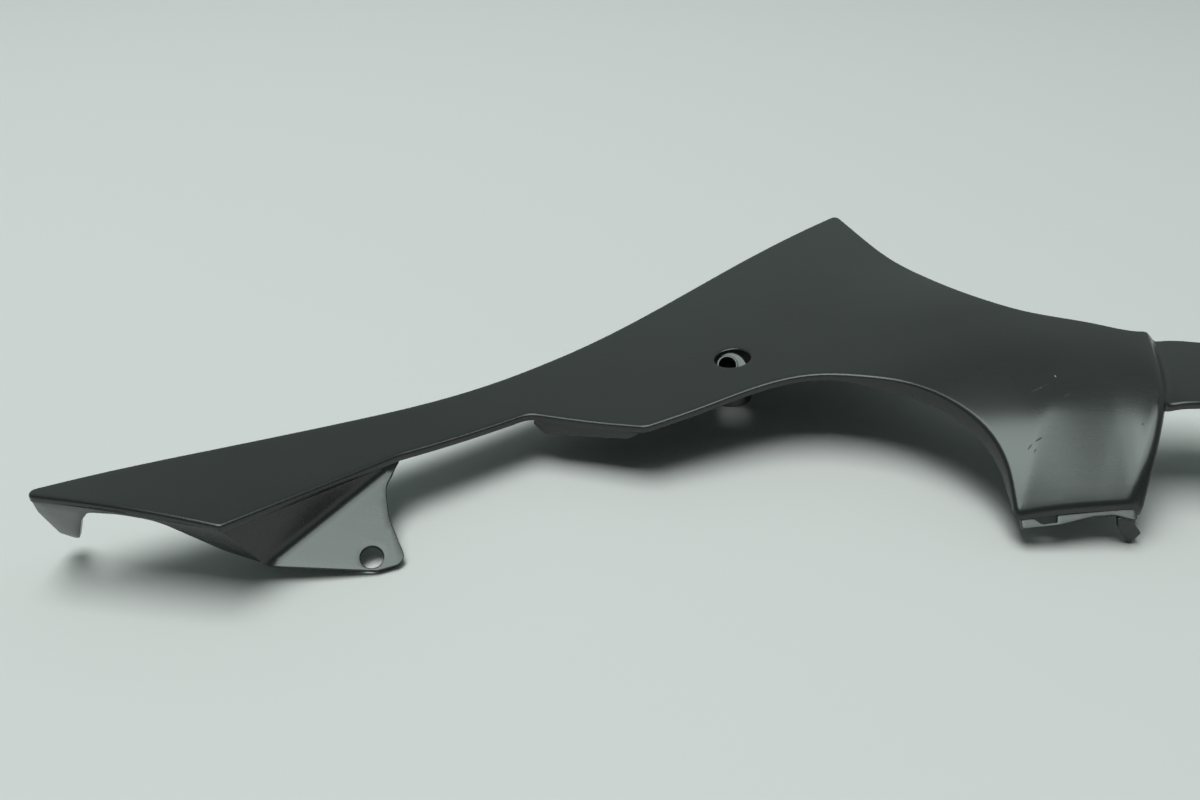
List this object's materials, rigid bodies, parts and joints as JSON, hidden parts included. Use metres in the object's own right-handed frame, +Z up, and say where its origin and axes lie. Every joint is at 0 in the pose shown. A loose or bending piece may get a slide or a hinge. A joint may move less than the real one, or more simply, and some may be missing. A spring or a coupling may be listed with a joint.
{
  "type": "motorcycle side cover",
  "caption": "Satin black moulded side cover: a long arm with a drilled ear, a peaked body with a screw well, a curved leg beside an arch, and a stepped tongue.",
  "frame": {"origin": "centre of the cover's box, on the surface that it lies on", "axes": "+X along the cover from nose to tongue, +Y from the arch towards the peak, +Z up out of the outer face"},
  "size_m": [0.6002, 0.3102, 0.0622],
  "materials": {
    "shell": "satin black"
  },
  "bodies": {
    "root": {"side_cover": "shell"}
  },
  "joints": []
}
